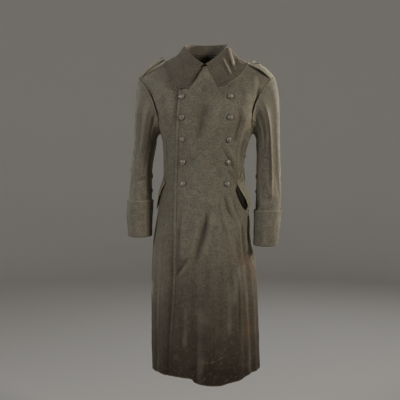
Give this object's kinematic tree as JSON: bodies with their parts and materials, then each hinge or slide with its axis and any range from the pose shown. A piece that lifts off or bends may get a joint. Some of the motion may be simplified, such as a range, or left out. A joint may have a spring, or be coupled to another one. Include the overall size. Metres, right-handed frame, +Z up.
{
  "type": "greatcoat",
  "caption": "Long double-breasted wool greatcoat in its worn shape, empty inside, with a wide fold-down collar, shoulder straps, turned-back cuffs and hip pocket flaps.",
  "frame": {"origin": "middle of the neck opening at the neck seam, where the coat's weight hangs on its wearer", "axes": "+Z up, the front faces -Y, +X towards the wearer's left side"},
  "size_m": [0.5805, 0.3448, 1.247],
  "materials": {
    "wool": "heavy felted wool twill, field brown, dusty and stained",
    "trim_wool": "paler grey-green wool of the straps and flaps",
    "button_metal": "dull grey pebbled metal"
  },
  "bodies": {
    "root": {"front_left": "wool", "front_right": "wool", "back_left": "wool", "back_right": "wool", "collar": "wool", "top_sleeve_left": "wool", "under_sleeve_left": "wool", "top_cuff_left": "wool", "under_cuff_left": "wool", "top_sleeve_right": "wool", "under_sleeve_right": "wool", "top_cuff_right": "wool", "under_cuff_right": "wool", "shoulder_strap_left": "trim_wool", "pocket_flap_left": "trim_wool", "shoulder_strap_right": "trim_wool", "pocket_flap_right": "trim_wool", "button_a1": "button_metal", "button_a2": "button_metal", "button_a3": "button_metal", "button_a4": "button_metal", "button_a5": "button_metal", "button_b1": "button_metal", "button_b2": "button_metal", "button_b3": "button_metal", "button_b4": "button_metal", "button_b5": "button_metal", "strap_button_left": "button_metal", "strap_button_right": "button_metal"}
  },
  "joints": []
}
